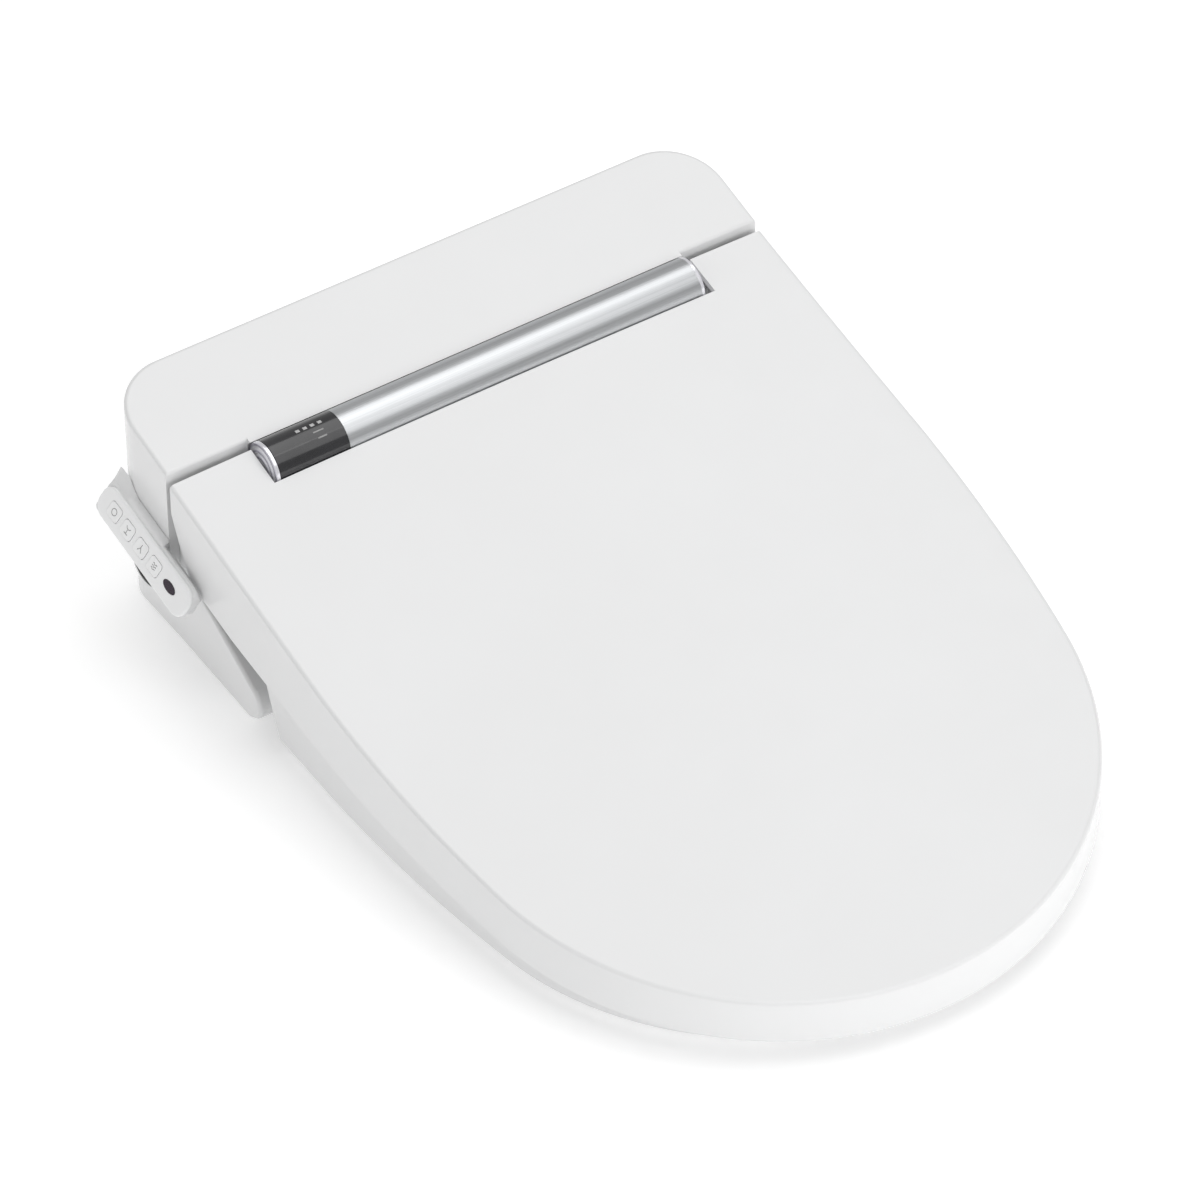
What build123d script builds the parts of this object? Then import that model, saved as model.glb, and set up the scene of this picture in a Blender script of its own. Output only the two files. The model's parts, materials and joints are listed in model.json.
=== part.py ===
from build123d import *

import os
from math import atan2, cos, pi, radians, sin, sqrt, tan

os.makedirs("parts", exist_ok=True)

# ---------------------------------------------------------------------------
# Driving dimensions, in millimetres.
# +X is right for a person who faces the seat, -Y is its front, z = 0 is the top of the ceramic rim,
# and the origin lies midway between the two fixing slots.
# ---------------------------------------------------------------------------
LID_REAR = -17.0             # rear edge of the lid
LID_LENGTH = 455.0
LID_HALF = 193.0             # half of the greatest width, which lies at SIDE_Y
LID_REAR_HALF = 191.0
SIDE_Y = -167.0
FRONT_R = 183.0              # radius of the round front
LID_REAR_Z = 122.0           # top of the lid at its rear edge
LID_SLOPE = 0.24             # fall towards the front at the rear edge
LID_LIFT = 23.7              # how far the hollow side curve lifts the tip
LID_SKIN = 2.2
LID_ROOF = LID_SKIN * 1.03    # upright thickness of the sloping top skin
LID_RIM_R = 2.6
LID_EDGE_REAR_Z = 54.5       # lower edge of the side wall, behind and at the tip
LID_EDGE_TIP_Z = 8.3

HINGE_Y = -25.5              # one axis carries the bar, the seat and the lid
HINGE_Z = 113.0
PIN_R = 2.5
PRESS = 0.02                 # radial clearance of a pressed or screwed joint
RUNNING = 0.05               # radial clearance of a pin in its ear
EAR_R = 4.2
LID_EAR = (146.0, 151.0)     # from and to, on both sides
POST = (151.6, 158.4)
SEAT_EAR = (159.0, 165.0)

BAR_R = 15.0
BAR_HALF = 139.0
BAR_WALL = 1.6
BAR_SEAT_GAP = 0.3
BAR_LIP = -17.5              # front of the deck's lip behind the bar
WINDOW = (-135.6, -92.0)     # dark stretch of the bar
NOTCH = (-140.2, 143.6)      # slot in the lid that clears the bar
NOTCH_DEPTH = 24.0

DECK_FRONT = -12.3
DECK_REAR = 54.5
DECK_HALF = 190.5
DECK_CORNER = 34.0
DECK_FRONT_Z = 124.8
DECK_SLOPE = 0.25
WALL = 3.0
DECK_EDGE_R = 2.2
SEAM_Z = 24.0                # joint between the tray and the cover
TRAY_HALF = 184.5            # the tray is narrower than the cover
TRAY_CORNER = 25.0

ARM = (172.0, 186.0)         # inner and outer face of a side arm at its tip
ARM_TIP = -93.0
ARM_EDGE_R = 2.5

SEAT_INSET = 7.0
SEAT_BOTTOM = 7.0
SEAT_SKIN = 3.0
SEAT_REAR = -43.0
SEAT_REAR_Z = 104.0          # top of the seat at its rear edge
SEAT_FALL = 97.0
SEAT_LIFT = 24.5
SEAT_EDGE_R = 6.0
HOLE_Y = -277.0
HOLE_HALF = (102.0, 130.0)

NOZZLE_TILT = 35.0
NOZZLE_TIP = (-70.0, 24.0)   # y and z of the tip at rest
NOZZLE_R = 7.0
NOZZLE_LENGTH = 112.0
MODULE = 1.0
PINION_TEETH = 14

NOSE_HALF = 52.0
NOSE_FRONT = -78.0

PANEL_ANGLE = 12.3           # fall of the control arm towards the front
PANEL_CENTRE = (-203.0, -5.5, 70.5)
PANEL_LENGTH = 89.0
PANEL_WIDTH = 19.5
PANEL_LEAN = 60.0            # lean of the fascia from level

SLOT_SPACING = 140.0
SLOT_R = 5.0
SLOT_LENGTH = 24.0

LID_TIP = LID_REAR - LID_LENGTH


def save(piece, name):
    """Label a finished piece and write it to its own STEP file."""
    piece.label = name
    export_step(piece, f"parts/{name}.step")


def lid_top(y):
    """Height of the lid's outer surface above the rim at a station y."""
    run = y - LID_REAR
    return LID_REAR_Z + LID_SLOPE * run + LID_LIFT * (run / LID_LENGTH) ** 2


def seat_top(y):
    """Height of the seat's upper surface at a station y."""
    run = (SEAT_REAR - y) / (SEAT_REAR - LID_TIP)
    return SEAT_REAR_Z - SEAT_FALL * run + SEAT_LIFT * run ** 2


def deck_top(y):
    """Height of the rear deck at a station y."""
    return DECK_FRONT_Z + DECK_SLOPE * (y - DECK_FRONT)


def parabola(height, y_from, y_to, shift=0.0):
    """Curve of a height function between two stations, drawn in the YZ plane."""
    middle = (y_from + y_to) / 2
    step = 0.01
    slope = (height(y_from + step) - height(y_from - step)) / (2 * step)
    control = height(y_from) + slope * (middle - y_from)
    return Bezier(
        (y_from, height(y_from) + shift),
        (middle, control + shift),
        (y_to, height(y_to) + shift),
    )


def lid_plan(inset):
    """Outline of the lid from above, taken in by an inset: a round front, long side arcs, straight flanks."""
    front_y = LID_TIP + FRONT_R
    rise = SIDE_Y - front_y
    side_r = (LID_HALF ** 2 + rise ** 2 - FRONT_R ** 2) / (2 * (LID_HALF - FRONT_R))
    side_x = LID_HALF - side_r
    turn = atan2(-rise, -side_x)
    with BuildSketch() as plan:
        with BuildLine():
            for side in (-1, 1):
                rear = (side * (LID_REAR_HALF - inset), LID_REAR)
                wide = (side * (LID_HALF - inset), SIDE_Y)
                half_r = side_r - inset
                middle = (side * (side_x + half_r * cos(turn / 2)), SIDE_Y + half_r * sin(turn / 2))
                join = (side * (side_x + half_r * cos(turn)), SIDE_Y + half_r * sin(turn))
                Line(rear, wide)
                ThreePointArc(wide, middle, join)
            tip = (0, LID_TIP + inset)
            ThreePointArc(join, tip, (-join[0], join[1]))
            Line((LID_REAR_HALF - inset, LID_REAR), (inset - LID_REAR_HALF, LID_REAR))
        make_face()
    return plan.sketch


def lid_block(inset, drop, open_below):
    """Solid between the lid's upper curve, its side outline and its lower edge."""
    edge_y = -77.0
    edge_slope = (LID_EDGE_REAR_Z - LID_EDGE_TIP_Z) / (edge_y - LID_TIP)
    with BuildPart() as block:
        with BuildSketch(Plane.YZ):
            with BuildLine():
                top = parabola(lid_top, LID_REAR + 1, LID_TIP - 1, -drop)
                if open_below:
                    Polyline(top @ 1, (LID_TIP - 1, -20), (LID_REAR + 1, -20), top @ 0)
                else:
                    tip_z = LID_EDGE_TIP_Z - edge_slope
                    Line(top @ 0, (LID_REAR + 1, 106))
                    ThreePointArc((LID_REAR + 1, 106), (-22.0, 82), (-41, 62))
                    Polyline((-41, 62), (edge_y, LID_EDGE_REAR_Z), (LID_TIP - 1, tip_z), top @ 1)
            make_face()
        extrude(amount=LID_HALF + 10, both=True)
        with BuildSketch(Plane.XY.offset(-30)):
            add(lid_plan(inset))
        extrude(amount=200, mode=Mode.INTERSECT)
    return block.part


def ear(x_from, x_to, forward, low_z, high_z):
    """Hinge ear on both sides: a disc on the hinge axis with a web that runs forward."""
    with BuildPart() as ears:
        for side in (-1, 1):
            plane = Plane.YZ.offset(x_from if side > 0 else -x_to)
            with BuildSketch(plane):
                with Locations((HINGE_Y, HINGE_Z)):
                    Circle(EAR_R)
                Polygon(
                    (HINGE_Y, HINGE_Z + EAR_R),
                    (HINGE_Y, HINGE_Z - EAR_R),
                    (forward, low_z),
                    (forward, high_z),
                    align=None,
                )
                with Locations((HINGE_Y, HINGE_Z)):
                    Circle(PIN_R + RUNNING, mode=Mode.SUBTRACT)
            extrude(amount=x_to - x_from)
    return ears.part


# ---------------------------------------------------------------------------
# Lid
# ---------------------------------------------------------------------------
with BuildPart() as lid_shell:
    add(lid_block(0, 0, False))
    top_edges = lid_shell.faces().sort_by(Axis.Z)[-1].edges()
    rim = [e for e in top_edges if abs((e @ 0.5).X) > 5 or (e @ 0.5).Y < LID_TIP + 60]
    fillet(rim, radius=LID_RIM_R)
    add(lid_block(LID_SKIN, LID_ROOF, True), mode=Mode.SUBTRACT)
    with BuildSketch(Plane.XY.offset(60)):
        with Locations(((NOTCH[0] + NOTCH[1]) / 2, LID_REAR - NOTCH_DEPTH / 2 + 5)):
            Rectangle(NOTCH[1] - NOTCH[0], NOTCH_DEPTH + 10)
    extrude(amount=100, mode=Mode.SUBTRACT)
    # Back edge: the inner space runs out under the top skin, so no lip meets the posts.
    with BuildSketch(Plane.YZ):
        Polygon((-45, 62), (-15, 62), (-15, 116), (-45, 108), align=None)
    extrude(amount=LID_HALF - LID_SKIN - 2.5, both=True, mode=Mode.SUBTRACT)
    add(ear(*LID_EAR, -58, 106, lid_top(-58) - 1.5))
    with BuildSketch(Plane.YZ):
        with Locations((HINGE_Y, HINGE_Z)):
            Circle(PIN_R + RUNNING)
    extrude(amount=SEAT_EAR[1] + 4, both=True, mode=Mode.SUBTRACT)
save(lid_shell.part, "lid_shell")

LID_BUMPERS = [(-55, -436), (55, -436), (-150, -215), (150, -215)]
with BuildPart() as lid_bumpers:
    for x, y in LID_BUMPERS:
        with BuildSketch(Plane.XY.offset(seat_top(y) + 1.3)):
            with Locations((x, y)):
                Circle(6)
        extrude(amount=40)
    add(lid_block(LID_SKIN + 0.1, LID_ROOF + 0.1, True), mode=Mode.INTERSECT)
save(lid_bumpers.part, "lid_bumpers")


# ---------------------------------------------------------------------------
# Seat
# ---------------------------------------------------------------------------
def seat_block(inset, drop, hole_grow, low):
    """Seat ring and its rear bridge: upper curve, outline and opening, taken in on every side."""
    rear = SEAT_REAR - drop
    step_y = -112 - drop
    foot = [(LID_TIP, low), (step_y, low)]
    if low < SEAT_BOTTOM:
        foot.append((step_y, SEAT_BOTTOM + drop * 1.6))
    with BuildPart() as block:
        with BuildSketch(Plane.YZ):
            with BuildLine():
                top = parabola(seat_top, rear, LID_TIP, -drop)
                Polyline(top @ 1, *foot, (step_y + 20, 58 + drop * 1.3), (rear, 88 + drop * 1.3), top @ 0)
            make_face()
        extrude(amount=LID_HALF, both=True)
        with BuildSketch(Plane.XY.offset(-30)):
            add(lid_plan(SEAT_INSET + inset))
            with Locations((0, HOLE_Y)):
                Ellipse(HOLE_HALF[0] + hole_grow, HOLE_HALF[1] + hole_grow, mode=Mode.SUBTRACT)
        extrude(amount=200, mode=Mode.INTERSECT)
    return block.part


with BuildPart() as seat_top_shell:
    add(seat_block(0, 0, 0, SEAT_BOTTOM))
    skin = seat_top_shell.faces().filter_by(lambda f: f.normal_at().Z > 0.5).sort_by(SortBy.AREA)[-1]
    fillet([e for e in skin.edges() if (e @ 0.5).Y < SEAT_REAR - 5], radius=SEAT_EDGE_R)
    add(seat_block(SEAT_SKIN, SEAT_SKIN, SEAT_SKIN, -5), mode=Mode.SUBTRACT)
    add(ear(*SEAT_EAR, -62, 84, 97))
save(seat_top_shell.part, "seat_top_shell")

SEAT_BUMPERS = [(-55, -436), (55, -436), (-148, -165), (148, -165)]
SEAT_SCREWS = [(-100, -412), (100, -412), (-150, -300), (150, -300), (-148, -215), (148, -215)]
PLATE = 2.5
with BuildPart() as seat_bottom_shell:
    with BuildSketch(Plane.XY.offset(SEAT_BOTTOM)):
        add(lid_plan(SEAT_INSET + SEAT_SKIN + 0.2))
        with Locations((0, HOLE_Y)):
            Ellipse(HOLE_HALF[0] + 3.2, HOLE_HALF[1] + 3.2, mode=Mode.SUBTRACT)
        with Locations((0, 0)):
            Rectangle(500, 2 * 116, mode=Mode.SUBTRACT)
    extrude(amount=PLATE)
    with BuildSketch(Plane.XY.offset(SEAT_BOTTOM)):
        with Locations(*SEAT_BUMPERS):
            Circle(3.1)
        with Locations(*SEAT_SCREWS):
            Circle(2.1)
    extrude(amount=PLATE, mode=Mode.SUBTRACT)
save(seat_bottom_shell.part, "seat_bottom_shell")

with BuildPart() as seat_bumpers:
    with BuildSketch():
        with Locations(*SEAT_BUMPERS):
            Circle(8)
    extrude(amount=SEAT_BOTTOM - 0.02)
    fillet(seat_bumpers.edges().group_by(Axis.Z)[0], radius=1.5)
    with BuildSketch(Plane.XY.offset(SEAT_BOTTOM - 0.02)):
        with Locations(*SEAT_BUMPERS):
            Circle(3)
    extrude(amount=PLATE + 1)
save(seat_bumpers.part, "seat_bumpers")

with BuildPart() as seat_screws:
    with BuildSketch(Plane.XY.offset(SEAT_BOTTOM + PLATE)):
        with Locations(*SEAT_SCREWS):
            Circle(2)
    extrude(amount=9)
    with BuildSketch(Plane.XY.offset(SEAT_BOTTOM)):
        with Locations(*SEAT_SCREWS):
            Circle(2)
    extrude(amount=PLATE)
    with BuildSketch(Plane.XY.offset(SEAT_BOTTOM - 1.8)):
        with Locations(*SEAT_SCREWS):
            Circle(3.6)
    extrude(amount=1.78)
save(seat_screws.part, "seat_screws")

with BuildPart() as seat_heater:
    with BuildSketch(Plane.YZ):
        with BuildLine():
            under = parabola(seat_top, -135, -440, -SEAT_SKIN - 0.4)
            lower = parabola(seat_top, -135, -440, -SEAT_SKIN - 1.2)
            Line(under @ 0, lower @ 0)
            Line(under @ 1, lower @ 1)
        make_face()
    extrude(amount=LID_HALF, both=True)
    with BuildSketch(Plane.XY):
        add(lid_plan(SEAT_INSET + 18))
        with Locations((0, HOLE_Y)):
            Ellipse(HOLE_HALF[0] + 13, HOLE_HALF[1] + 13, mode=Mode.SUBTRACT)
    extrude(amount=150, mode=Mode.INTERSECT)
save(seat_heater.part, "seat_heater")


# ---------------------------------------------------------------------------
# Tray, cover and mounting plate
# ---------------------------------------------------------------------------
def deck_plan(inset):
    """Outline of the rear body from above, with round rear corners."""
    with BuildSketch() as plan:
        with Locations((0, (DECK_FRONT + DECK_REAR) / 2)):
            Rectangle(2 * (DECK_HALF - inset), DECK_REAR - DECK_FRONT - 2 * inset)
        fillet(plan.vertices().group_by(Axis.Y)[-1], radius=DECK_CORNER - inset)
    return plan.sketch


def tray_plan(inset):
    """Outline of the tray from above."""
    with BuildSketch() as plan:
        with Locations((0, (DECK_FRONT + DECK_REAR) / 2)):
            Rectangle(2 * (TRAY_HALF - inset), DECK_REAR - DECK_FRONT - 2 * inset)
        fillet(plan.vertices().group_by(Axis.Y)[-1], radius=TRAY_CORNER - inset)
    return plan.sketch


def nozzle_plane(distance):
    """Plane across the spray arm, whose normal runs back up along the arm."""
    angle = radians(NOZZLE_TILT)
    back = (0, cos(angle), sin(angle))
    origin = (0, NOZZLE_TIP[0] + distance * back[1], NOZZLE_TIP[1] + distance * back[2])
    return Plane(origin=origin, x_dir=(1, 0, 0), z_dir=back)


def nose_profile(inset):
    """Side view of the nose that shelters the spray arm."""
    return [
        (DECK_FRONT + 3, inset),
        (NOSE_FRONT + inset, inset),
        (NOSE_FRONT + inset, 34 - inset),
        (NOSE_FRONT + 10, 44 - inset),
        (DECK_FRONT + 3, 82 - inset),
    ]


def side_arms():
    """Arms that reach forward beside the seat, a little splayed, with round outer ridges."""
    behind = DECK_FRONT + 0.5
    with BuildPart() as arms:
        with BuildSketch(Plane.YZ):
            with BuildLine():
                Polyline((behind, 100), (-19, 75), (-30, 51), (-87, 22))
                ThreePointArc((-87, 22), (ARM_TIP, 12), (-84, 0))
                Polyline((-84, 0), (behind, 0), (behind, 100))
            make_face()
        extrude(amount=DECK_HALF, both=True)
        with BuildSketch():
            for side in (-1, 1):
                Polygon(
                    (side * ARM[0], behind),
                    (side * ARM[0], ARM_TIP - 1),
                    (side * ARM[1], ARM_TIP - 1),
                    (side * TRAY_HALF, behind),
                    align=None,
                )
        extrude(amount=120, mode=Mode.INTERSECT)
        skins = [f for f in arms.faces() if abs(f.normal_at().X) > 0.9 and abs(f.center().X) > ARM[0] + 5]
        ridges = [e for f in skins for e in f.edges() if (e @ 0.5).Z > 1 and (e @ 0.5).Y < behind - 1]
        fillet(ridges, radius=ARM_EDGE_R)
    return arms.part


INLET = (17.0, 41.0)         # y and z of the water inlet on the left wall
INLET_RECESS_R = 16.5
RELEASE_SIZE = (17.0, 11.0)
GLAND = (150.0, 40.0)        # x and z of the cable gland on the rear wall
GLAND_R = 7.0
PLATE_HALF = (98.0, 24.0)    # mounting plate
PLATE_THICK = 4.0
TUNNEL_Z = 17.0              # roof over the mounting plate and its bolt heads
TUNNEL_Y = 14.0              # centre of the tunnel, which runs out at the back
TUNNEL_LONG = 2 * PLATE_HALF[1] + 34
COVER_SCREWS = [(-140, -4.5), (140, -4.5), (-110, 46.5), (110, 46.5)]
SCREW_R = 1.9
BOSS_R = 4.5
RELEASE = (8.0, 12.0)       # y and z of the release button on the right wall
DRYER_X = (-48.0, -28.0)
DRYER_Z = (10.0, 30.0)
FLAP_PIN_R = 1.0
FLAP_AXIS = (-76.5, 28.6)   # y and z of the dryer flap's pivot

with BuildPart() as base_housing:
    with BuildSketch():
        add(tray_plan(0))
    extrude(amount=SEAM_Z)
    with BuildSketch(Plane.XY.offset(WALL)):
        add(tray_plan(WALL))
    extrude(amount=SEAM_Z, mode=Mode.SUBTRACT)
    add(side_arms())
    for side in (-1, 1):
        # Hinge post with its web and the foot that ties it to the arm
        with BuildSketch(Plane.YZ.offset(POST[0] if side > 0 else -POST[1])):
            Polygon(
                (HINGE_Y - 4.0, HINGE_Z),
                (HINGE_Y - 4.0, 0),
                (DECK_FRONT + 0.5, 0),
                (DECK_FRONT + 0.5, 90),
                (HINGE_Y + 2.4, 97),
                (HINGE_Y + 2.4, HINGE_Z),
                align=None,
            )
            with Locations((HINGE_Y, HINGE_Z)):
                Circle(EAR_R)
        extrude(amount=POST[1] - POST[0])
        with BuildSketch():
            with Locations((side * (POST[0] + ARM[0] + 5) / 2, DECK_FRONT - 14)):
                Rectangle(ARM[0] + 5 - POST[0], 30)
        extrude(amount=WALL)
    with BuildSketch(Plane.XY.offset(SEAM_Z)):
        with Locations((0, DECK_FRONT + 9.8)):
            Rectangle(500, 20)
    extrude(amount=150, mode=Mode.SUBTRACT)
    # Nose for the spray arm and the warm air outlet
    with BuildSketch(Plane.YZ):
        Polygon(*nose_profile(0), align=None)
    extrude(amount=NOSE_HALF, both=True)
    with BuildSketch(Plane.YZ):
        Polygon(*nose_profile(WALL), (DECK_FRONT + 12, WALL), align=None)
    extrude(amount=NOSE_HALF - WALL, both=True, mode=Mode.SUBTRACT)
    with BuildSketch(nozzle_plane(-45)):
        Circle(NOZZLE_R + 2.0)
        with Locations((7.0, 0)):
            Rectangle(14, 6.4)
    extrude(amount=70, mode=Mode.SUBTRACT)
    with BuildSketch(Plane.XZ.offset(-NOSE_FRONT - 5)):
        with Locations(((DRYER_X[0] + DRYER_X[1]) / 2, (DRYER_Z[0] + DRYER_Z[1]) / 2)):
            Rectangle(DRYER_X[1] - DRYER_X[0], DRYER_Z[1] - DRYER_Z[0])
    extrude(amount=20, mode=Mode.SUBTRACT)
    with BuildSketch(Plane.YZ.offset(DRYER_X[0] - 2)):
        with Locations(FLAP_AXIS):
            Circle(FLAP_PIN_R + RUNNING)
    extrude(amount=DRYER_X[1] - DRYER_X[0] + 4, mode=Mode.SUBTRACT)
    # Tunnel for the mounting plate, open below and at the back
    with BuildSketch():
        with Locations((0, 8)):
            Rectangle(2 * PLATE_HALF[0] + 8, 68)
    extrude(amount=TUNNEL_Z + WALL)
    with BuildSketch():
        with Locations((0, TUNNEL_Y)):
            Rectangle(2 * PLATE_HALF[0] + 1, TUNNEL_LONG)
    extrude(amount=PLATE_THICK + 0.4, mode=Mode.SUBTRACT)
    with BuildSketch():
        with Locations((0, TUNNEL_Y)):
            Rectangle(2 * PLATE_HALF[0] - 12, TUNNEL_LONG)
    extrude(amount=TUNNEL_Z, mode=Mode.SUBTRACT)
    with BuildSketch(Plane.XZ.offset(-DECK_REAR - 10)):
        with Locations((0, 50)):
            Rectangle(500, 200)
    extrude(amount=9.99, mode=Mode.SUBTRACT)
    with BuildSketch(Plane.YZ.offset(TRAY_HALF - WALL - 1)):
        with Locations(RELEASE):
            Rectangle(*RELEASE_SIZE)
    extrude(amount=WALL + 5, mode=Mode.SUBTRACT)
    with BuildSketch(Plane.XY.offset(-1)):
        with Locations(*COVER_SCREWS):
            Circle(SCREW_R + 0.3)
    extrude(amount=WALL + 2, mode=Mode.SUBTRACT)
    with BuildSketch(Plane.XY.offset(-1)):
        with Locations(*COVER_SCREWS):
            Circle(4)
    extrude(amount=2.6, mode=Mode.SUBTRACT)
    with BuildSketch(Plane.YZ):
        with Locations((HINGE_Y, HINGE_Z)):
            Circle(PIN_R + PRESS)
    extrude(amount=SEAT_EAR[1] + 4, both=True, mode=Mode.SUBTRACT)
save(base_housing.part, "base_housing")


def cover_hollow():
    """Upper inside of the cover: a thicker front wall behind the bar and an even roof."""
    with BuildPart() as hollow:
        with BuildSketch(Plane.XY.offset(80)):
            add(deck_plan(WALL + 1.5))
        extrude(amount=80)
        with BuildSketch(Plane.YZ):
            Polygon(
                (DECK_FRONT - 1, deck_top(DECK_FRONT - 1) - WALL),
                (DECK_REAR + 1, deck_top(DECK_REAR + 1) - WALL),
                (DECK_REAR + 1, 200),
                (DECK_FRONT - 1, 200),
                align=None,
            )
        extrude(amount=DECK_HALF + 5, both=True, mode=Mode.SUBTRACT)
    return hollow.part


with BuildPart() as top_cover:
    with BuildSketch(Plane.XY.offset(SEAM_Z + 0.2)):
        add(deck_plan(0))
    extrude(amount=140)
    with BuildSketch(Plane.YZ):
        with BuildLine():
            Polyline(
                (DECK_FRONT - 1, deck_top(DECK_FRONT - 1)),
                (DECK_REAR + 1, deck_top(DECK_REAR + 1)),
                (DECK_REAR + 1, 200),
                (DECK_FRONT - 1, 200),
                close=True,
            )
        make_face()
    extrude(amount=DECK_HALF + 5, both=True, mode=Mode.SUBTRACT)
    deck = top_cover.faces().sort_by(Axis.Z)[-1]
    fillet(deck.edges(), radius=DECK_EDGE_R)
    with BuildSketch(Plane.XY.offset(SEAM_Z)):
        add(deck_plan(WALL))
    extrude(amount=62, mode=Mode.SUBTRACT)
    add(cover_hollow(), mode=Mode.SUBTRACT)
    # Ledge that rests on the narrower tray
    with BuildSketch(Plane.XY.offset(SEAM_Z + 0.2)):
        add(deck_plan(0))
        add(tray_plan(WALL), mode=Mode.SUBTRACT)
    extrude(amount=WALL)
    with BuildSketch(Plane.XY.offset(WALL + 0.2)):
        with Locations(*COVER_SCREWS):
            Circle(BOSS_R)
    extrude(amount=96)
    with BuildSketch(Plane.XY):
        with Locations(*COVER_SCREWS):
            Circle(SCREW_R + PRESS)
    extrude(amount=30, mode=Mode.SUBTRACT)
    # Lip that follows the bar, then the half-round seat for it
    with BuildSketch(Plane.YZ):
        Polygon(
            (DECK_FRONT + 4, deck_top(DECK_FRONT + 4)),
            (BAR_LIP, deck_top(BAR_LIP)),
            (BAR_LIP, HINGE_Z - 8),
            (DECK_FRONT + 4, HINGE_Z - 8),
            align=None,
        )
    extrude(amount=BAR_HALF + 0.4, both=True)
    with BuildSketch(Plane.YZ.offset(-BAR_HALF - 0.5)):
        with Locations((HINGE_Y, HINGE_Z)):
            Circle(BAR_R + BAR_SEAT_GAP)
    extrude(amount=2 * BAR_HALF + 1, mode=Mode.SUBTRACT)
    # Opening behind the nose
    with BuildSketch(Plane.XZ.offset(-DECK_FRONT - 8)):
        with Locations((0, 50)):
            Rectangle(2 * NOSE_HALF + 0.6, 76)
    extrude(amount=20, mode=Mode.SUBTRACT)
    # Recess around the water inlet, hole for the cable gland
    with BuildSketch(Plane.YZ.offset(-DECK_HALF - 1)):
        with Locations(INLET):
            Circle(INLET_RECESS_R)
    extrude(amount=DECK_HALF - 160, mode=Mode.SUBTRACT)
    with BuildSketch(Plane.XZ.offset(-DECK_REAR - 1)):
        with Locations(GLAND):
            Circle(GLAND_R + PRESS)
    extrude(amount=10, mode=Mode.SUBTRACT)
save(top_cover.part, "top_cover")

with BuildPart() as mounting_plate:
    with BuildSketch():
        Rectangle(2 * PLATE_HALF[0], 2 * PLATE_HALF[1])
        with Locations((-SLOT_SPACING / 2, 0), (SLOT_SPACING / 2, 0)):
            SlotOverall(SLOT_LENGTH, 2 * SLOT_R, mode=Mode.SUBTRACT)
    extrude(amount=PLATE_THICK)
save(mounting_plate.part, "mounting_plate")

with BuildPart() as cover_screws:
    with BuildSketch(Plane.XY.offset(0.2)):
        with Locations(*COVER_SCREWS):
            Circle(3.7)
    extrude(amount=1.3)
    with BuildSketch(Plane.XY.offset(1.5)):
        with Locations(*COVER_SCREWS):
            Circle(SCREW_R)
    extrude(amount=14)
save(cover_screws.part, "cover_screws")


# ---------------------------------------------------------------------------
# Bar on the hinge line
# ---------------------------------------------------------------------------
def bar_piece(x_from, x_to, inner):
    """Length of the bar, hollow where an inner radius is given."""
    with BuildPart() as piece:
        with BuildSketch(Plane.YZ.offset(x_from)):
            with Locations((HINGE_Y, HINGE_Z)):
                Circle(BAR_R)
                if inner:
                    Circle(inner, mode=Mode.SUBTRACT)
        extrude(amount=x_to - x_from)
    return piece.part


CAP = BAR_HALF - 3.0
with BuildPart() as bar_tube:
    add(bar_piece(WINDOW[1] + 0.1, CAP - 0.1, BAR_R - BAR_WALL))
save(bar_tube.part, "bar_tube")

with BuildPart() as bar_window:
    add(bar_piece(WINDOW[0], WINDOW[1], BAR_R - BAR_WALL))
save(bar_window.part, "bar_window")

for name, start in (("bar_cap_left", -BAR_HALF), ("bar_cap_right", CAP)):
    with BuildPart() as bar_cap:
        with BuildSketch(Plane.YZ.offset(start)):
            with Locations((HINGE_Y, HINGE_Z)):
                Circle(BAR_R)
                Circle(PIN_R + PRESS, mode=Mode.SUBTRACT)
        extrude(amount=BAR_HALF - CAP)
        fillet(bar_cap.edges().filter_by(GeomType.CIRCLE).sort_by(SortBy.RADIUS)[-2:], radius=0.8)
    save(bar_cap.part, name)

DAMPER_R = 8.5
DAMPER_END = 134.0
DAMPER_LENGTH = 38.0
with BuildPart() as hinge_pins:
    with BuildSketch(Plane.YZ.offset(DAMPER_END - 3)):
        with Locations((HINGE_Y, HINGE_Z)):
            Circle(PIN_R)
    extrude(amount=SEAT_EAR[1] + 2 - DAMPER_END + 3)
    mirror(about=Plane.YZ)
save(hinge_pins.part, "hinge_pins")

for name, start in (("seat_damper", -DAMPER_END), ("lid_damper", DAMPER_END - DAMPER_LENGTH)):
    with BuildPart() as damper:
        with BuildSketch(Plane.YZ.offset(start)):
            with Locations((HINGE_Y, HINGE_Z)):
                Circle(DAMPER_R)
        extrude(amount=DAMPER_LENGTH)
        with BuildSketch(Plane.YZ.offset(start)):
            with Locations((HINGE_Y, HINGE_Z)):
                Circle(PIN_R + PRESS)
        extrude(amount=DAMPER_LENGTH, mode=Mode.SUBTRACT)
        chamfer(damper.edges().filter_by(GeomType.CIRCLE).sort_by(SortBy.RADIUS)[-2:], length=0.8)
    save(damper.part, name)

with BuildPart() as display_board:
    with Locations((sum(WINDOW) / 2, HINGE_Y, HINGE_Z + 10.2)):
        Box(36, 10, 1.2)
    with Locations(*[(sum(WINDOW) / 2 + dx, HINGE_Y, HINGE_Z + 11.3) for dx in (-9, 0, 9)]):
        Box(3, 3, 1.0)
save(display_board.part, "display_board")


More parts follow.
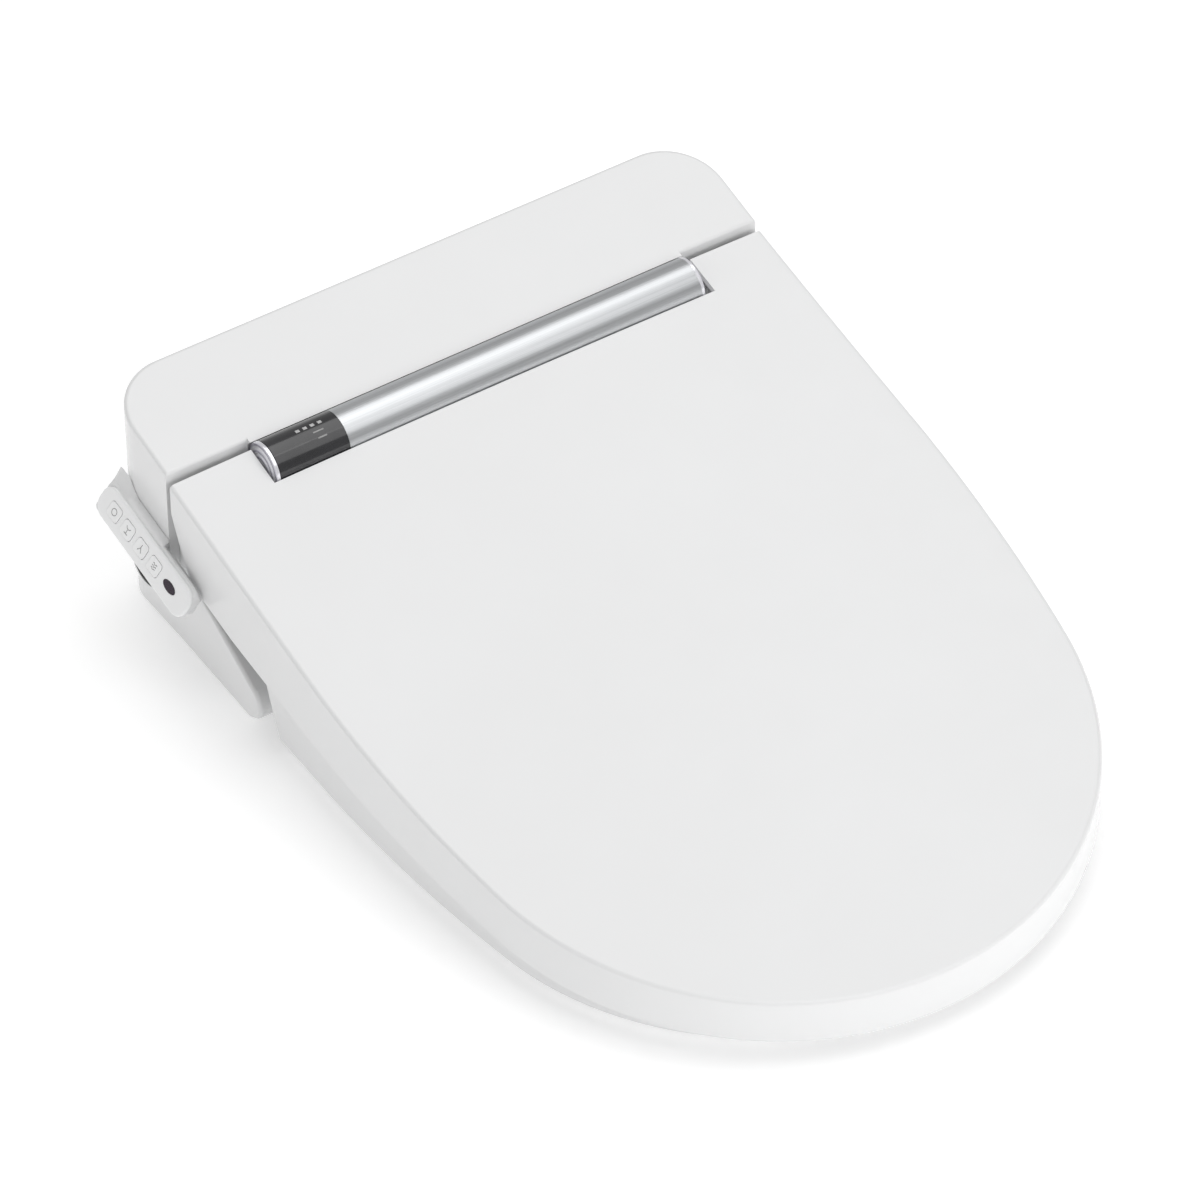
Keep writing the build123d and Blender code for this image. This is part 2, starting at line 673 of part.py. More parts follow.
# ---------------------------------------------------------------------------
# Spray arm with its rack drive
# ---------------------------------------------------------------------------
ARM_BORE = 5.0
with BuildPart() as nozzle_tube:
    with BuildSketch(nozzle_plane(10)):
        Circle(NOZZLE_R)
        Circle(ARM_BORE, mode=Mode.SUBTRACT)
    extrude(amount=NOZZLE_LENGTH - 10)
save(nozzle_tube.part, "nozzle_tube")

with BuildPart() as nozzle_tip:
    with BuildSketch(nozzle_plane(0)):
        Circle(NOZZLE_R)
    extrude(amount=9.9)
    fillet(nozzle_tip.edges().group_by(Axis.Z)[0], radius=3)
    with BuildSketch(nozzle_plane(9.9)):
        Circle(ARM_BORE - 0.1)
    extrude(amount=6)
    spray = nozzle_plane(5)
    with BuildSketch(Plane(origin=spray.origin, x_dir=(1, 0, 0), z_dir=-spray.y_dir).offset(3)):
        with GridLocations(2.4, 2.4, 2, 2):
            Circle(0.5)
    extrude(amount=10, mode=Mode.SUBTRACT)
save(nozzle_tip.part, "nozzle_tip")

PITCH_R = MODULE * PINION_TEETH / 2
RACK_LINE = 12.0             # pitch line of the rack, to the right of the arm's axis
BACKLASH = 0.2
PINION_AT = 18.0             # along the arm from its tip at rest
drive = nozzle_plane(PINION_AT)
gear_plane = Plane(origin=drive.origin, x_dir=(1, 0, 0), z_dir=-drive.y_dir)


def tooth_points(pressure=20.0, steps=5):
    """One involute tooth of the pinion that points along +X, from root to root."""
    base = PITCH_R * cos(radians(pressure))
    outer = PITCH_R + 0.9 * MODULE
    half = (pi * MODULE / 2 - BACKLASH) / 2 / PITCH_R
    involute_at_pitch = tan(radians(pressure)) - radians(pressure)
    side = []
    for k in range(steps + 1):
        r = base + (outer - base) * k / steps
        roll = sqrt(max((r / base) ** 2 - 1, 0))
        angle = half + involute_at_pitch - (roll - atan2(roll, 1))
        side.append((r, angle))
    root = PITCH_R - 1.2 * MODULE
    side = [(root, side[0][1])] + side
    return [(r * cos(a), -r * sin(a)) for r, a in side] + [(r * cos(a), r * sin(a)) for r, a in reversed(side)]


with BuildPart() as nozzle_rack:
    with BuildSketch(gear_plane.offset(-2.5)):
        with Locations((NOZZLE_R + 2.2, (NOZZLE_LENGTH + 14) / 2 - PINION_AT)):
            Rectangle(3.4, NOZZLE_LENGTH - 14)
        half = (pi * MODULE / 2 - BACKLASH) / 2
        rise = 1.15 * MODULE
        slope = tan(radians(20))
        count = int((NOZZLE_LENGTH - 14) / (pi * MODULE)) - 1
        for k in range(-1, count - 1):
            at = (k + 0.5) * pi * MODULE
            low, high = half + slope * rise, half - slope * 0.9 * MODULE
            Polygon(
                (RACK_LINE - rise, at - low),
                (RACK_LINE + 0.9 * MODULE, at - high),
                (RACK_LINE + 0.9 * MODULE, at + high),
                (RACK_LINE - rise, at + low),
                align=None,
            )
    extrude(amount=5)
save(nozzle_rack.part, "nozzle_rack")

PINION_BORE = 1.5
with BuildPart() as nozzle_pinion:
    with BuildSketch(gear_plane.offset(-2.5)):
        with Locations((RACK_LINE + PITCH_R, 0)):
            Circle(PITCH_R - 1.15 * MODULE)
            with PolarLocations(0, PINION_TEETH, start_angle=180):
                Polygon(*tooth_points(), align=None)
            Circle(PINION_BORE + RUNNING, mode=Mode.SUBTRACT)
    extrude(amount=5)
save(nozzle_pinion.part, "nozzle_pinion")

MOTOR_R = 11.0
with BuildPart() as nozzle_motor:
    with BuildSketch(gear_plane.offset(-3.2)):
        with Locations((RACK_LINE + PITCH_R, 0)):
            Circle(MOTOR_R)
    extrude(amount=-15)
    with BuildSketch(gear_plane.offset(-3.2)):
        with Locations((RACK_LINE + PITCH_R, 0)):
            Circle(PINION_BORE)
    extrude(amount=7)
save(nozzle_motor.part, "nozzle_motor")

with BuildPart() as nozzle_guide:
    with BuildSketch(nozzle_plane(28)):
        Circle(NOZZLE_R + 2)
        Circle(NOZZLE_R + 0.2, mode=Mode.SUBTRACT)
        with Locations((10, 0)):
            Rectangle(16, 7, mode=Mode.SUBTRACT)
    extrude(amount=NOZZLE_LENGTH - 30)
save(nozzle_guide.part, "nozzle_guide")


# ---------------------------------------------------------------------------
# Warm air dryer
# ---------------------------------------------------------------------------
FAN = (21.0, 62.0)           # y and z of the fan shaft
FAN_R = 28.0
FAN_X = (-50.0, -26.0)
FAN_SHAFT_R = 2.0
with BuildPart() as blower_housing:
    with BuildSketch(Plane.YZ.offset(FAN_X[0])):
        with Locations(FAN):
            Circle(FAN_R)
    extrude(amount=FAN_X[1] - FAN_X[0])
    with BuildSketch(Plane.YZ.offset(FAN_X[0] + 2)):
        with Locations(FAN):
            Circle(FAN_R - 2)
    extrude(amount=FAN_X[1] - FAN_X[0] - 4, mode=Mode.SUBTRACT)
    with BuildSketch(Plane.YZ.offset(FAN_X[1] - 3)):
        with Locations(FAN):
            Circle(14)
    extrude(amount=5, mode=Mode.SUBTRACT)
    with BuildSketch(Plane.YZ.offset(FAN_X[0] - 1)):
        with Locations(FAN):
            Circle(FAN_SHAFT_R + 0.5)
    extrude(amount=5, mode=Mode.SUBTRACT)
    with BuildSketch(Plane.YZ.offset(FAN_X[0] + 2)):
        Polygon((FAN[0], 58), (FAN[0], 38), (-20, 32), (-20, 50), align=None)
    extrude(amount=FAN_X[1] - FAN_X[0] - 4, mode=Mode.SUBTRACT)
save(blower_housing.part, "blower_housing")

with BuildPart() as blower_impeller:
    with BuildSketch(Plane.YZ.offset(FAN_X[0] + 4)):
        with Locations(FAN):
            Circle(22)
            Circle(FAN_SHAFT_R + RUNNING, mode=Mode.SUBTRACT)
    extrude(amount=1.5)
    with BuildSketch(Plane.YZ.offset(FAN_X[0] + 4)):
        with Locations(FAN):
            Circle(5)
            Circle(FAN_SHAFT_R + RUNNING, mode=Mode.SUBTRACT)
    extrude(amount=10)
    with BuildSketch(Plane.YZ.offset(FAN_X[0] + 5)):
        with Locations(FAN):
            with PolarLocations(19, 20):
                Rectangle(5, 1.0, rotation=35)
    extrude(amount=14)
save(blower_impeller.part, "blower_impeller")

with BuildPart() as blower_motor:
    with BuildSketch(Plane.YZ.offset(FAN_X[0] - 0.3)):
        with Locations(FAN):
            Circle(16)
    extrude(amount=-24)
    with BuildSketch(Plane.YZ.offset(FAN_X[0] - 0.3)):
        with Locations(FAN):
            Circle(FAN_SHAFT_R)
    extrude(amount=15)
save(blower_motor.part, "blower_motor")

with BuildPart() as dryer_duct:
    with BuildSketch(Plane.YZ.offset(DRYER_X[0])):
        Polygon((2, 60), (-74.6, 30), (-74.6, 10), (2, 34), align=None)
    extrude(amount=DRYER_X[1] - DRYER_X[0])
    with BuildSketch(Plane.YZ.offset(DRYER_X[0] + 1.5)):
        Polygon((4, 59), (-76, 27.9), (-76, 11.1), (4, 36.3), align=None)
    extrude(amount=DRYER_X[1] - DRYER_X[0] - 3, mode=Mode.SUBTRACT)
    with BuildSketch(Plane.YZ.offset(-80)):
        with Locations(FAN):
            Circle(FAN_R + 0.2)
    extrude(amount=80, mode=Mode.SUBTRACT)
save(dryer_duct.part, "dryer_duct")

with BuildPart() as dryer_heater:
    with BuildSketch(Plane.YZ.offset(DRYER_X[0] + 2)):
        for k in range(4):
            with Locations((-36 + 3 * k, 33.6 + 1.05 * k)):
                Rectangle(1.2, 17)
    extrude(amount=DRYER_X[1] - DRYER_X[0] - 4)
save(dryer_heater.part, "dryer_heater")

with BuildPart() as dryer_flap:
    with BuildSketch(Plane.YZ.offset(DRYER_X[0] + 0.5)):
        with Locations(FLAP_AXIS):
            Circle(1.3)
        Polygon(
            (FLAP_AXIS[0] - 1, FLAP_AXIS[1]),
            (FLAP_AXIS[0] + 1, FLAP_AXIS[1]),
            (FLAP_AXIS[0] + 1, DRYER_Z[0] + 0.5),
            (FLAP_AXIS[0] - 1, DRYER_Z[0] + 0.5),
            align=None,
        )
    extrude(amount=DRYER_X[1] - DRYER_X[0] - 1)
    with BuildSketch(Plane.YZ.offset(DRYER_X[0] - 1.5)):
        with Locations(FLAP_AXIS):
            Circle(FLAP_PIN_R)
    extrude(amount=DRYER_X[1] - DRYER_X[0] + 3)
save(dryer_flap.part, "dryer_flap")


# ---------------------------------------------------------------------------
# Water path
# ---------------------------------------------------------------------------
THREAD_R = 10.2              # male G 1/2 thread, taken as a plain spigot
STEM_R = 9.0                 # stem of the fitting behind its flange
FLANGE_R = 13.0
INLET_BORE_R = 6.5
SPIGOT = (-186.0, -168.0)
CUP_X = -162.0               # inner face of the cup that forms the recess
CUP_WALL = 1.2
CUP_FLOOR = 2.0
CUP_FIT = 0.2
FLANGE_BACK = CUP_X - CUP_FLOOR - 0.05
STEM_END = -150.0
with BuildPart() as inlet_cup:
    with BuildSketch(Plane.YZ.offset(CUP_X)):
        with Locations(INLET):
            Circle(INLET_RECESS_R - CUP_FIT)
    extrude(amount=-(DECK_HALF - 0.3 + CUP_X))
    with BuildSketch(Plane.YZ.offset(CUP_X - CUP_FLOOR)):
        with Locations(INLET):
            Circle(INLET_RECESS_R - CUP_FIT - CUP_WALL)
    extrude(amount=-40, mode=Mode.SUBTRACT)
    with BuildSketch(Plane.YZ.offset(CUP_X - CUP_FLOOR - 1)):
        with Locations(INLET):
            Circle(STEM_R + CUP_FIT)
    extrude(amount=5, mode=Mode.SUBTRACT)
save(inlet_cup.part, "inlet_cup")

with BuildPart() as inlet_fitting:
    with BuildSketch(Plane.YZ.offset(SPIGOT[0])):
        with Locations(INLET):
            Circle(THREAD_R)
    extrude(amount=SPIGOT[1] - SPIGOT[0])
    with BuildSketch(Plane.YZ.offset(SPIGOT[1])):
        with Locations(INLET):
            RegularPolygon(FLANGE_R, 6)
    extrude(amount=FLANGE_BACK - SPIGOT[1])
    with BuildSketch(Plane.YZ.offset(FLANGE_BACK)):
        with Locations(INLET):
            Circle(STEM_R)
    extrude(amount=STEM_END - FLANGE_BACK)
    with BuildSketch(Plane.YZ.offset(SPIGOT[0])):
        with Locations(INLET):
            Circle(INLET_BORE_R)
    extrude(amount=60, mode=Mode.SUBTRACT)
save(inlet_fitting.part, "inlet_fitting")

with BuildPart() as inlet_filter:
    with BuildSketch(Plane.YZ.offset(SPIGOT[0] + 3)):
        with Locations(INLET):
            Circle(INLET_BORE_R - 0.3)
            Circle(INLET_BORE_R - 1.3, mode=Mode.SUBTRACT)
    extrude(amount=14)
save(inlet_filter.part, "inlet_filter")

with BuildPart() as solenoid_valve:
    with BuildSketch(Plane.YZ.offset(STEM_END + 0.3)):
        with Locations(INLET):
            Rectangle(24, 22)
    extrude(amount=16)
    with BuildSketch(Plane.XY.offset(INLET[1] + 11)):
        with Locations((STEM_END + 8.3, INLET[0])):
            Circle(9)
    extrude(amount=8)
    with BuildSketch(Plane.YZ.offset(STEM_END + 16.3)):
        with Locations(INLET):
            Circle(4)
    extrude(amount=5)
save(solenoid_valve.part, "solenoid_valve")

with BuildPart() as water_heater:
    with Locations((88, 23, 50)):
        Box(56, 38, 56)
    fillet(water_heater.edges().filter_by(Axis.Z), radius=5)
    for y, z in ((34, 30), (12, 66)):
        with BuildSketch(Plane.YZ.offset(54)):
            with Locations((y, z)):
                Circle(3.5)
        extrude(amount=8)
save(water_heater.part, "water_heater")

HOSE_R = 3.0


def hose(*route):
    """Hose along straight runs joined by round bends."""
    with BuildPart() as tube:
        with BuildLine() as path:
            FilletPolyline(*route, radius=9)
        with BuildSketch(Plane(origin=path.line @ 0, z_dir=path.line % 0)):
            Circle(HOSE_R)
            Circle(HOSE_R - 1, mode=Mode.SUBTRACT)
        sweep()
    return tube.part


supply = [(-128.5, *INLET), (-112, *INLET), (-92, 42, 27), (20, 42, 27), (38, 34, 30), (53.8, 34, 30)]
save(hose(*supply), "supply_hose")
feed = [(53.8, 12, 66), (36, 12, 66), (24, 24, 92), (13.5, 34, 98), (2, 34, 98)]
save(hose(*feed), "nozzle_hose")

with BuildPart() as water_pump:
    with Locations((146, 22, 40)):
        Cylinder(14, 38, rotation=(0, 90, 0))
    with Locations((124, 22, 40)):
        Cylinder(9, 6, rotation=(0, 90, 0))
save(water_pump.part, "water_pump")


# ---------------------------------------------------------------------------
# Electronics
# ---------------------------------------------------------------------------
def board(centre, size, blocks):
    """Circuit board with the blocks that stand on it, as (x, y, length, width, height)."""
    with BuildPart() as plate:
        with Locations(centre):
            Box(*size)
        for x, y, length, width, height in blocks:
            at = (centre[0] + x, centre[1] + y, centre[2] + size[2] / 2 + height / 2)
            with Locations(at):
                Box(length, width, height)
    return plate.part


relays = [(-40, 8, 16, 12, 14), (-20, 8, 16, 12, 14), (8, -6, 20, 18, 4), (34, 8, 12, 22, 9)]
save(board((116, 20.5, 86), (108, 40, 1.6), relays), "main_board")
supply_parts = [(-20, 2, 22, 26, 22), (8, -6, 10, 10, 16), (24, 8, 12, 12, 12)]
save(board((-144, 20.5, 62), (68, 36, 1.6), supply_parts), "power_board")

with BuildPart() as cable_gland:
    with BuildSketch(Plane.XZ.offset(-DECK_REAR - 2)):
        with Locations(GLAND):
            Circle(GLAND_R + 3)
    extrude(amount=1.9)
    with BuildSketch(Plane.XZ.offset(-DECK_REAR - 0.1)):
        with Locations(GLAND):
            Circle(GLAND_R)
    extrude(amount=9)
    with BuildSketch(Plane.XZ.offset(-DECK_REAR - 3)):
        with Locations(GLAND):
            Circle(3.6)
    extrude(amount=15, mode=Mode.SUBTRACT)
save(cable_gland.part, "cable_gland")

with BuildPart() as release_button:
    with BuildSketch(Plane.YZ.offset(TRAY_HALF - WALL - 6)):
        with Locations(RELEASE):
            Rectangle(RELEASE_SIZE[0] - 0.6, RELEASE_SIZE[1] - 0.6)
    extrude(amount=WALL + 7)
    fillet(release_button.edges().group_by(Axis.X)[-1], radius=0.8)
save(release_button.part, "release_button")

# ---------------------------------------------------------------------------
# Control arm on the left side
# ---------------------------------------------------------------------------
fall = radians(PANEL_ANGLE)
along = Vector(0, -cos(fall), -sin(fall))
lean = Vector(-sin(radians(PANEL_LEAN)), 0, cos(radians(PANEL_LEAN)))
outward = (lean - along * lean.dot(along)).normalized()
fascia = Plane(origin=PANEL_CENTRE, x_dir=along, z_dir=outward)
PANEL_GAP_X = -194.6         # inner face, clear of the lid's side wall
FASCIA_THICK = 1.6
BUTTON_STEP = 13.8
BUTTON_FIRST = -29.9
BUTTON_SIZE = (10.0, 9.0)
BUTTON_PLAY = 0.3
LENS_AT = 27.0
LENS_SIZE = (11.0, 5.4)
BUTTONS = ["button_stop", "button_rear_wash", "button_front_wash", "button_dry"]


def panel_block(inset, front, back):
    """Slab with round ends, parallel to the fascia, between two depths."""
    with BuildPart() as block:
        with BuildSketch(fascia.offset(-back)):
            RectangleRounded(PANEL_LENGTH - 2 * inset, PANEL_WIDTH - 2 * inset, 8 - inset)
        extrude(amount=back - front)
    return block.part


def half_space(x_limit):
    """Everything on the inner side of a vertical plane beside the panel."""
    with BuildPart() as block:
        with Locations((x_limit + 50, 0, 70)):
            Box(100, 300, 300)
    return block.part


with BuildPart() as panel_housing:
    add(panel_block(0, FASCIA_THICK + 0.1, 16))
    # Shoulder that carries the arm on the side wall of the cover
    with BuildSketch(Plane.YZ.offset(-197)):
        Polygon((40, 70), (36, 88), (24, 96), (4, 84), (-8, 66), (8, 60), align=None)
    extrude(amount=6.3)
    add(half_space(-DECK_HALF - 0.2), mode=Mode.SUBTRACT)
    with Locations((-DECK_HALF + 46, -59.8, 70)):
        Box(100, 100, 100, mode=Mode.SUBTRACT)
    add(panel_block(-0.3, -8, FASCIA_THICK + 0.1), mode=Mode.SUBTRACT)
    add(panel_block(2, 0, 9), mode=Mode.SUBTRACT)
save(panel_housing.part, "panel_housing")

with BuildPart() as panel_fascia:
    add(panel_block(0, 0, FASCIA_THICK))
    fillet(panel_fascia.faces().sort_by(Axis(PANEL_CENTRE, outward))[-1].edges(), radius=1.1)
    with BuildSketch(fascia.offset(-5)):
        for k in range(len(BUTTONS)):
            with Locations((BUTTON_FIRST + k * BUTTON_STEP, 0)):
                RectangleRounded(BUTTON_SIZE[0] + 2 * BUTTON_PLAY, BUTTON_SIZE[1] + 2 * BUTTON_PLAY, 2.3)
        with Locations((LENS_AT, 0)):
            Ellipse(LENS_SIZE[0] / 2 + 0.1, LENS_SIZE[1] / 2 + 0.1)
    extrude(amount=10, mode=Mode.SUBTRACT)
save(panel_fascia.part, "panel_fascia")

for k, name in enumerate(BUTTONS):
    with BuildPart() as button:
        with BuildSketch(fascia.offset(-3.2)):
            with Locations((BUTTON_FIRST + k * BUTTON_STEP, 0)):
                RectangleRounded(*BUTTON_SIZE, 2)
        extrude(amount=3.5)
    save(button.part, name)

with BuildPart() as ir_lens:
    with BuildSketch(fascia.offset(-2.2)):
        with Locations((LENS_AT, 0)):
            Ellipse(LENS_SIZE[0] / 2, LENS_SIZE[1] / 2)
    extrude(amount=2.4)
save(ir_lens.part, "ir_lens")

with BuildPart() as panel_board:
    with BuildSketch(fascia.offset(-7.4)):
        RectangleRounded(PANEL_LENGTH - 8, PANEL_WIDTH - 6, 3)
    extrude(amount=1.2)
    with BuildSketch(fascia.offset(-6.2)):
        for k in range(len(BUTTONS)):
            with Locations((BUTTON_FIRST + k * BUTTON_STEP, 0)):
                Circle(2)
    extrude(amount=1.6)
save(panel_board.part, "panel_board")
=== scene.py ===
import json
import math

import bmesh
import bpy
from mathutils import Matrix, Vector

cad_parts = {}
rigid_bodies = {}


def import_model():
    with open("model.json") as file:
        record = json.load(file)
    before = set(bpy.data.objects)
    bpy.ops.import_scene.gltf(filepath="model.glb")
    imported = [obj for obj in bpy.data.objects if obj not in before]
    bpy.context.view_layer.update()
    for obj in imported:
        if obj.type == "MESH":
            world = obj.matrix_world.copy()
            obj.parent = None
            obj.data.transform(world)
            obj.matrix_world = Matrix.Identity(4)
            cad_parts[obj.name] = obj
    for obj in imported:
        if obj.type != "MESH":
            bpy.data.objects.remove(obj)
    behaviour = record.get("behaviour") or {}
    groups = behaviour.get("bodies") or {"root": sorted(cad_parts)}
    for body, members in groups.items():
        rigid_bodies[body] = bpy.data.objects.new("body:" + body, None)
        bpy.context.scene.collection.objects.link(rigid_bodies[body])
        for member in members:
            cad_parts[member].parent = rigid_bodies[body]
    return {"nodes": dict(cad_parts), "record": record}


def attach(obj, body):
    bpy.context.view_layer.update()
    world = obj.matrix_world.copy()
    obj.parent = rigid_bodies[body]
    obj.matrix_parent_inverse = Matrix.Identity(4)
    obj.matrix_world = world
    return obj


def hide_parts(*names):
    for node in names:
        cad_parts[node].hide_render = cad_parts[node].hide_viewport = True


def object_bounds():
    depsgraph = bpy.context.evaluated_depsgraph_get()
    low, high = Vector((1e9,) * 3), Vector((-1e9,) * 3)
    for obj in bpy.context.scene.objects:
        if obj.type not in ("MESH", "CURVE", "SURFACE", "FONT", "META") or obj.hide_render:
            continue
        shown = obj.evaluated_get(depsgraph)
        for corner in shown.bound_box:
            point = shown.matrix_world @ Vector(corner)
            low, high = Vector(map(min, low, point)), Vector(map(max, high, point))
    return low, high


for old in list(bpy.data.objects):
    bpy.data.objects.remove(old)

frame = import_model()
CAD_BOX = [list(corner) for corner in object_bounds()]
nodes = frame["nodes"]

# Axis of the metal bar, the lid and the seat, in metres.
HINGE = Vector((0, -0.0255, 0.113))

# Part of a noise's output that is spread over a roughness range.
NOISE_LOW, NOISE_HIGH = 0.3, 0.7


# ---------------------------------------------------------------------------
# Materials
# ---------------------------------------------------------------------------
class Paint:
    """Node material around one Principled shader, in object coordinates."""

    def __init__(self, name, colour, roughness, **sockets):
        self.mat = bpy.data.materials.new(name)
        self.mat.use_nodes = True
        self.tree = self.mat.node_tree
        self.shader = self.tree.nodes["Principled BSDF"]
        self.shader.inputs["Base Color"].default_value = (*colour, 1)
        self.shader.inputs["Roughness"].default_value = roughness
        for key, value in sockets.items():
            self.shader.inputs[key.replace("_", " ")].default_value = value
        self.coords = self.node("ShaderNodeTexCoord").outputs["Object"]
        self.height = None

    def node(self, kind, **settings):
        made = self.tree.nodes.new(kind)
        for key, value in settings.items():
            setattr(made, key, value)
        return made

    def link(self, a, b):
        self.tree.links.new(a, b)

    def stretched(self, scale):
        mapping = self.node("ShaderNodeMapping")
        mapping.inputs["Scale"].default_value = scale
        self.link(self.coords, mapping.inputs["Vector"])
        return mapping.outputs["Vector"]

    def noise(self, scale, detail=3.0, roughness=0.5, stretch=(1, 1, 1)):
        made = self.node("ShaderNodeTexNoise")
        made.inputs["Scale"].default_value = scale
        made.inputs["Detail"].default_value = detail
        made.inputs["Roughness"].default_value = roughness
        self.link(self.stretched(stretch), made.inputs["Vector"])
        return made.outputs["Fac"]

    def cells(self, scale, feature="F1"):
        made = self.node("ShaderNodeTexVoronoi", feature=feature)
        made.inputs["Scale"].default_value = scale
        self.link(self.coords, made.inputs["Vector"])
        return made.outputs["Distance"]

    def rings(self, spacing, centre, axis):
        """Wave over the distance from a line, for turned faces: fine turning lines as a bump, and
        painted groove shade and highlight as a colour.
        """
        shift = self.node("ShaderNodeVectorMath", operation="SUBTRACT")
        shift.inputs[1].default_value = centre
        self.link(self.coords, shift.inputs[0])
        flat = self.node("ShaderNodeVectorMath", operation="MULTIPLY")
        flat.inputs[1].default_value = [0 if k == axis else 1 for k in range(3)]
        self.link(shift.outputs[0], flat.inputs[0])
        length = self.node("ShaderNodeVectorMath", operation="LENGTH")
        self.link(flat.outputs[0], length.inputs[0])
        return self.wave(length.outputs["Value"], spacing)

    def wave(self, value, spacing):
        """Sine of a length, moved into the range 0 to 1."""
        turn = self.node("ShaderNodeMath", operation="MULTIPLY")
        turn.inputs[1].default_value = 2 * math.pi / spacing
        self.link(value, turn.inputs[0])
        sine = self.node("ShaderNodeMath", operation="SINE")
        self.link(turn.outputs[0], sine.inputs[0])
        half = self.node("ShaderNodeMath", operation="MULTIPLY_ADD")
        half.inputs[1].default_value = 0.5
        half.inputs[2].default_value = 0.5
        self.link(sine.outputs[0], half.inputs[0])
        return half.outputs[0]

    def along(self, axis, spacing):
        """Wave along one axis of the object, for threads."""
        split = self.node("ShaderNodeSeparateXYZ")
        self.link(self.coords, split.inputs[0])
        return self.wave(split.outputs[axis], spacing)

    def colour(self, fac, *stops):
        ramp = self.node("ShaderNodeValToRGB")
        self.link(fac, ramp.inputs[0])
        while len(ramp.color_ramp.elements) < len(stops):
            ramp.color_ramp.elements.new(0.5)
        for element, (place, value) in zip(ramp.color_ramp.elements, stops):
            element.position = place
            element.color = (*value, 1)
        self.link(ramp.outputs[0], self.shader.inputs["Base Color"])
        return self

    def rough(self, fac, low, high):
        made = self.node("ShaderNodeMapRange")
        made.inputs["From Min"].default_value = NOISE_LOW
        made.inputs["From Max"].default_value = NOISE_HIGH
        made.inputs["To Min"].default_value = low
        made.inputs["To Max"].default_value = high
        self.link(fac, made.inputs["Value"])
        self.link(made.outputs["Result"], self.shader.inputs["Roughness"])
        return self

    def bump(self, fac, distance, strength=1.0):
        made = self.node("ShaderNodeBump")
        made.inputs["Strength"].default_value = strength
        made.inputs["Distance"].default_value = distance
        self.link(fac, made.inputs["Height"])
        if self.height:
            self.link(self.height, made.inputs["Normal"])
        self.height = made.outputs["Normal"]
        self.link(self.height, self.shader.inputs["Normal"])
        return self


def grey(value, tint=0.0):
    return (value * (1 - tint), value, value * (1 + tint))


def gloss_white(name, value, low, high, coat):
    paint = Paint(name, grey(value), low, Coat_Weight=coat, Coat_Roughness=0.06, IOR=1.5)
    paint.colour(
        paint.noise(9, 4),
        (0.25, grey(value * 0.985, 0.002)),
        (0.75, grey(min(value * 1.01, 0.95), 0.004)),
    )
    paint.rough(paint.noise(55, 5, 0.6), low, high)
    paint.bump(paint.noise(420, 2), 0.000012)
    paint.bump(paint.noise(38, 3), 0.00004, 0.6)
    return paint.mat


def grained(name, value, tint, grain, depth, rough=(0.42, 0.6)):
    paint = Paint(name, grey(value, tint), rough[0])
    paint.colour(
        paint.noise(60, 5),
        (0.3, grey(value * 0.88, tint)),
        (0.7, grey(value * 1.08, tint)),
    )
    paint.rough(paint.noise(240, 3), *rough)
    paint.bump(paint.cells(grain), depth)
    return paint.mat


def metal(name, colour, stretch, rough, depth):
    paint = Paint(name, colour, rough[0], Metallic=1.0)
    streak = paint.noise(1.0, 4, 0.7, stretch)
    paint.colour(
        streak,
        (0.3, [c * 0.86 for c in colour]),
        (0.7, [min(c * 1.08, 1) for c in colour]),
    )
    paint.rough(streak, *rough)
    paint.bump(streak, depth)
    return paint


# Every roughness range stays on one side of about 0.27. Ranges across that value
# gave pale blotches in denoised renders.
looks = {
    "white_shell": gloss_white("gloss_shell", 0.8, 0.16, 0.24, 0.15),
    "white_body": gloss_white("gloss_body", 0.8, 0.19, 0.26, 0.1),
    # The fascia is the body's gloss white painted lighter: painted light standing for the light
    # that falls on the arm's face.
    "fascia_white": gloss_white("fascia", 0.92, 0.19, 0.26, 0.1),
    "nozzle_white": gloss_white("nozzle", 0.82, 0.14, 0.22, 0.3),
    "dark_plastic": grained("dark_moulding", 0.035, 0.02, 900, 0.00004),
    "plate_grey": grained("grey_moulding", 0.5, 0.01, 700, 0.00005, (0.35, 0.5)),
    "grey_rubber": grained("rubber", 0.28, 0.01, 1100, 0.00005, (0.6, 0.8)),
    "gear_plastic": grained("acetal", 0.7, -0.03, 800, 0.00002, (0.3, 0.42)),
    "bar_metal": metal("brushed_bar", grey(0.6, 0.02), (6, 1400, 1400), (0.28, 0.38), 0.000004).mat,
    "steel": metal("steel", grey(0.5), (900, 40, 900), (0.28, 0.42), 0.000008).mat,
}

# The keys are painted lighter than the body: painted light standing for the light that falls on the
# arm's face.
keys = Paint("key_satin", grey(0.93), 0.34)
keys.colour(keys.noise(70, 4), (0.3, grey(0.91)), (0.7, grey(0.94, 0.004)))
keys.rough(keys.noise(300, 3), 0.3, 0.42).bump(keys.cells(1500), 0.00002)
looks["key_white"] = keys.mat

brass = metal("machined_brass", (0.72, 0.5, 0.2), (60, 500, 500), (0.28, 0.38), 0.000006)
brass.bump(brass.along(0, 0.0018), 0.0005)
looks["brass"] = brass.mat

foil = Paint("heater_foil", grey(0.62), 0.3, Metallic=1.0)
foil.colour(foil.cells(160), (0.0, grey(0.5)), (0.6, grey(0.72)))
foil.rough(foil.noise(200, 3), 0.29, 0.45).bump(foil.cells(160), 0.0003)
looks["heater_foil"] = foil.mat

hose = Paint("clear_hose", (0.66, 0.7, 0.7), 0.25, Transmission_Weight=0.35, IOR=1.42)
hose.colour(hose.noise(50, 3), (0.3, (0.6, 0.65, 0.66)), (0.7, (0.74, 0.77, 0.77)))
hose.rough(hose.noise(160, 3), 0.18, 0.26).bump(hose.noise(300, 3), 0.00003)
looks["hose_clear"] = hose.mat

